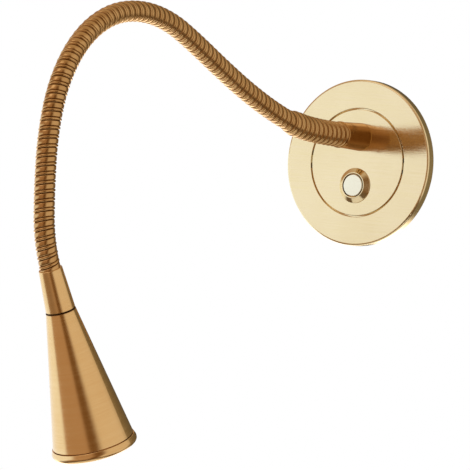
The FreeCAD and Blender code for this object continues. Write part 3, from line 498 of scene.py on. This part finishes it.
def springGroup(sizes, material):
    group = bpy.data.node_groups.new("coilSpring", "GeometryNodeTree")
    inputs = groupInputs(group, sizes)
    line = addNode(group, "GeometryNodeCurveSpiral",
                   {"Resolution": springShape["stepsPerTurn"], "Rotations": inputs["Turns"],
                    "Start Radius": inputs["Radius"], "End Radius": inputs["Radius"],
                    "Height": inputs["Height"]})
    wire = addNode(group, "GeometryNodeCurvePrimitiveCircle",
                   {"Resolution": springShape["wireCuts"], "Radius": inputs["Wire radius"]})
    coil = addNode(group, "GeometryNodeCurveToMesh",
                   {"Curve": line, "Profile Curve": wire, "Fill Caps": True})
    placed = addNode(group, "GeometryNodeTransform",  # laid down, so that it runs away from the wall
                     {"Geometry": coil, "Translation": inputs["Back end"],
                      "Rotation": (math.radians(90), 0, 0)})
    return endOfGroup(group, placed, material)


springLow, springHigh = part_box("switch_spring")
springMiddle = (springLow + springHigh) / 2
springSizes = {
    "Turns": springShape["turns"],
    "Wire radius": springShape["wireRadius"],
    "Radius": (springHigh.x - springLow.x) / 2 - springShape["wireRadius"],
    "Height": springHigh.y - springLow.y - 2 * springShape["wireRadius"],
    "Back end": (springMiddle.x, springHigh.y - springShape["wireRadius"], springMiddle.z),
}
springHost = bpy.data.objects.new("springHost", bpy.data.meshes.new("springHost"))
scene.collection.objects.link(springHost)
coilSpring = springGroup(springSizes, slotFinish["zinc_steel"])
spring = bakeGroup(springHost, coilSpring, springSizes, "returnSpring")
bpy.data.objects.remove(springHost)
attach(spring, "base")
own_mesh(spring)
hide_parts("switch_spring")
print("spring:", len(spring.data.polygons), "faces")

# The camera, the room's light and the floor
studio = {
    "azimuth": 33.18,  # degrees, like the next two
    "elevation": 0.24,
    "roll": 5.35,
    "distance": 2.761,
    "aim": (-0.0614, -0.0427),  # from the plate's middle, across and up
    "lens": 413.4,
    "sensor": 36.0,
    "sight": 50.0,  # how far the camera sees
    # the room's light by bearing from the camera's side, degrees, positive to the right
    "room": ((-180, (0.54, 0.36, 0.24)), (-14, (0.54, 0.36, 0.24)), (-6, (0.2, 0.1, 0.035)),
             (12, (0.2, 0.1, 0.035)), (26, (0.84, 0.74, 0.64)), (100, (0.8, 0.7, 0.6)),
             (114, (0.24, 0.19, 0.115)), (180, (0.1, 0.078, 0.045))),
    "softbox": (1.12, 1.2, 1.32),
    "softboxEdge": (-56, -66),  # a wide softbox from here round to the back, on the left
    "softboxLean": 66,  # degrees that its edge draws back below the horizon
    "softboxTop": (0.05, 0.16),  # it ends a little above the horizon
    "ceiling": (0.62, 0.48, 0.34),
    "ceilingHeight": (0.55, 0.9),
    "ground": (0.16, 0.105, 0.06),
    "groundDepth": (-0.42, -0.62),
    # a white sweep on the ground behind the lamp edges the neck's underside with light
    "sweep": (3.4, 3.1, 2.7),
    "sweepBack": (-0.62, -0.8),
    "sweepDepth": (-0.26, -0.42),
    "lampPower": 4.0,
    "lampSize": 1.4,
    "lampPlace": (-0.9, -2.0, 1.6),
    "lampAim": (0, -0.12, 0),
    "floorLevel": -5.2,  # far below, as the lamp hangs on a wall and is looked at from under too
    "floorRadius": 3.6,
    "floorCorners": 96,
    "floorGlow": 0.64,
}
# a matt, cool grey floor, which its glow and the room's warm light bring near white
floorLook = dict(plasticLook, light="#A9B0B8", dark="#A3AAB2", rough=(0.75, 0.85),
                 grainPerMm=0.06, cloudPerMm=0.004)
azimuth, elevation, roll = (math.radians(studio[k]) for k in ("azimuth", "elevation", "roll"))
level = Vector((math.cos(azimuth), math.sin(azimuth), 0))
front = Vector((math.sin(azimuth), -math.cos(azimuth), 0))


def placeCamera():
    towardsCamera = front * math.cos(elevation) + Vector((0, 0, math.sin(elevation)))
    upright = towardsCamera.cross(level)
    imageRight = level * math.cos(roll) + upright * math.sin(roll)
    imageUp = upright * math.cos(roll) - level * math.sin(roll)
    place = towardsCamera * studio["distance"] + level * studio["aim"][0] + upright * studio["aim"][1]
    turned = Matrix((imageRight, imageUp, towardsCamera)).transposed().to_4x4()
    camera = bpy.data.objects.new("camera", bpy.data.cameras.new("camera"))
    camera.data.lens = studio["lens"]
    camera.data.sensor_width = studio["sensor"]
    camera.data.clip_end = studio["sight"]
    camera.matrix_world = Matrix.Translation(place) @ turned
    scene.collection.objects.link(camera)
    scene.camera = camera


def lightRoom():  # its light changes with the bearing; the camera itself sees plain white
    world = bpy.data.worlds.new("studioRoom")
    world.use_nodes = True
    scene.world = world
    tree = world.node_tree
    tree.nodes.clear()
    direction = addNode(tree, "ShaderNodeTexCoord").outputs["Generated"]
    height = addNode(tree, "ShaderNodeSeparateXYZ", [direction]).outputs["Z"]
    toRight = addNode(tree, "ShaderNodeVectorMath", [direction, level], operation="DOT_PRODUCT")
    toFront = addNode(tree, "ShaderNodeVectorMath", [direction, front], operation="DOT_PRODUCT")
    bearing = addNode(tree, "ShaderNodeMath", [toRight, toFront], operation="ARCTAN2")
    turns = addNode(tree, "ShaderNodeMapRange", [bearing, -math.pi, math.pi, 0.0, 1.0])
    ramp = addNode(tree, "ShaderNodeValToRGB", [turns])
    steps = ramp.color_ramp.elements
    while len(steps) < len(studio["room"]):
        steps.new(0.5)
    for element, (degrees, tone) in zip(steps, studio["room"]):
        element.position = degrees / 360 + 0.5
        element.color = (*tone, 1)

    below = addNode(tree, "ShaderNodeMath", [height, 0.0], operation="MINIMUM")
    drawnBack = addNode(tree, "ShaderNodeMath", [below, -math.radians(studio["softboxLean"])],
                        operation="MULTIPLY")
    leant = addNode(tree, "ShaderNodeMath", [bearing, drawnBack], operation="ADD")
    edge = [math.radians(v) for v in studio["softboxEdge"]]
    pastEdge = addNode(tree, "ShaderNodeMapRange", [leant, *edge, 0.0, 1.0], interpolation_type="SMOOTHSTEP")
    underTop = addNode(tree, "ShaderNodeMapRange", [height, *studio["softboxTop"], 1.0, 0.0])
    inSoftbox = addNode(tree, "ShaderNodeMath", [pastEdge, underTop], operation="MULTIPLY")
    onCeiling, onGround = (addNode(tree, "ShaderNodeMapRange", [height, *studio[levels], 0.0, 1.0],
                                   interpolation_type="SMOOTHSTEP")
                           for levels in ("ceilingHeight", "groundDepth"))
    behind = addNode(tree, "ShaderNodeMapRange", [toFront, *studio["sweepBack"], 0.0, 1.0])
    low = addNode(tree, "ShaderNodeMapRange", [height, *studio["sweepDepth"], 0.0, 1.0])
    onSweep = addNode(tree, "ShaderNodeMath", [behind, low], operation="MULTIPLY")
    light = ramp
    for share, part in ((inSoftbox, "softbox"), (onCeiling, "ceiling"), (onGround, "ground"),
                        (onSweep, "sweep")):
        light = addNode(tree, "ShaderNodeMix", {0: share, 6: light, 7: (*studio[part], 1)}, data_type="RGBA")
    room = addNode(tree, "ShaderNodeBackground", {"Color": light, "Strength": 1.0})
    white = addNode(tree, "ShaderNodeBackground", {"Color": (1, 1, 1, 1), "Strength": 1.0})
    seen = addNode(tree, "ShaderNodeLightPath").outputs["Is Camera Ray"]
    addNode(tree, "ShaderNodeOutputWorld",
            {"Surface": addNode(tree, "ShaderNodeMixShader", [seen, room, white])})


def addLamp():  # one large soft lamp, high on the left
    light = bpy.data.lights.new("softLamp", "AREA")
    light.energy = studio["lampPower"]
    light.size = studio["lampSize"]
    lamp = bpy.data.objects.new("softLamp", light)
    lamp.location = studio["lampPlace"]
    aim = Vector(studio["lampAim"]) - lamp.location
    lamp.rotation_euler = aim.to_track_quat("-Z", "Y").to_euler()
    scene.collection.objects.link(lamp)


def addFloor():
    bpy.ops.mesh.primitive_circle_add(vertices=studio["floorCorners"], radius=studio["floorRadius"],
                                      fill_type="NGON", location=(0, 0, studio["floorLevel"]))
    floor = bpy.context.object
    floor.name = "floor"
    paleFloor = finishNodes("paleFloor", floorLook)
    feed(paleFloor.node_tree, paleFloor.node_tree.nodes["Principled BSDF"],
         {"Emission Color": (1, 1, 1, 1), "Emission Strength": studio["floorGlow"]})
    floor.data.materials.append(paleFloor)


placeCamera()
lightRoom()
addLamp()
addFloor()
scene.view_settings.view_transform = "Standard"
print("studio: camera, room, lamp and floor made")
